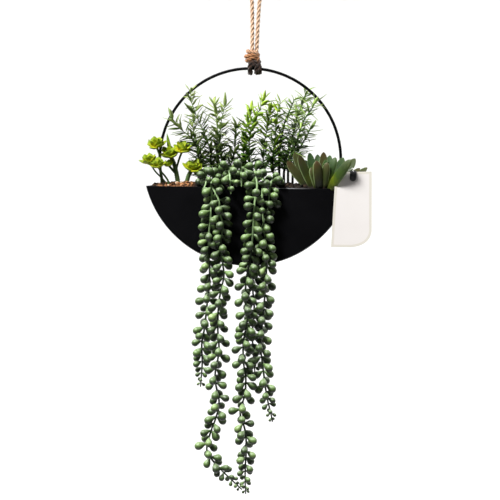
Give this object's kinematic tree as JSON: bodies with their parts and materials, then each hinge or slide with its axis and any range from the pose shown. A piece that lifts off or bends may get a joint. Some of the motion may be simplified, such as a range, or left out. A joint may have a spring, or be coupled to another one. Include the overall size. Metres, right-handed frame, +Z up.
{
  "type": "potted burros tail plant",
  "caption": "Hanging half-moon planter on a thin hoop and doubled rope, planted with trailing burro's tail, needle sprigs and rosettes.",
  "frame": {"origin": "point where the rope loop bears on its hook, inside the loop's top bend", "axes": "+Z up along the hanging rope, front of the pot faces -Y, hoop lies in the plane Y = 0, +X to the right seen from the front"},
  "size_m": [0.3128, 0.1069, 0.7153],
  "materials": {
    "hoop_metal": "satin black powder coat",
    "pot_metal": "satin black powder coat",
    "rope": "natural twisted jute",
    "grey_needles": "matte grey-green",
    "lime_leaves": "matte lime green",
    "green_needles": "matte mid green",
    "rosette_leaves": "matte yellow-green",
    "agave_leaves": "satin olive with reddish tips",
    "gravel": "rough mixed brown grit",
    "foam": "open-cell foam",
    "card": "matte card",
    "tie": "clear nylon",
    "tail_beads": "satin sage green"
  },
  "bodies": {
    "root": {"hoop": "hoop_metal", "pot_front": "pot_metal", "pot_back": "pot_metal", "pot_band": "pot_metal", "jute_rope": "rope", "agave_rosette": "agave_leaves", "rosette_1": "rosette_leaves", "rosette_2": "rosette_leaves", "rosette_3": "rosette_leaves", "rosette_4": "rosette_leaves", "rosette_5": "rosette_leaves", "rosette_6": "rosette_leaves", "tail_strand_1": "tail_beads", "tail_strand_2": "tail_beads", "tail_strand_3": "tail_beads", "tail_strand_4": "tail_beads", "tail_strand_5": "tail_beads", "short_shoot_1": "tail_beads", "short_shoot_2": "tail_beads", "short_shoot_3": "tail_beads", "grey_sprig_1": "grey_needles", "grey_sprig_2": "grey_needles", "grey_sprig_3": "grey_needles", "grey_sprig_4": "grey_needles", "grey_sprig_5": "grey_needles", "grey_sprig_6": "grey_needles", "lime_sprig_1": "lime_leaves", "lime_sprig_2": "lime_leaves", "lime_sprig_3": "lime_leaves", "lime_sprig_4": "lime_leaves", "green_sprig_1": "green_needles", "green_sprig_2": "green_needles", "green_sprig_3": "green_needles", "green_sprig_4": "green_needles", "gravel": "gravel", "planting_foam": "foam", "blank_tag": "card", "tag_tie": "tie"}
  },
  "joints": []
}
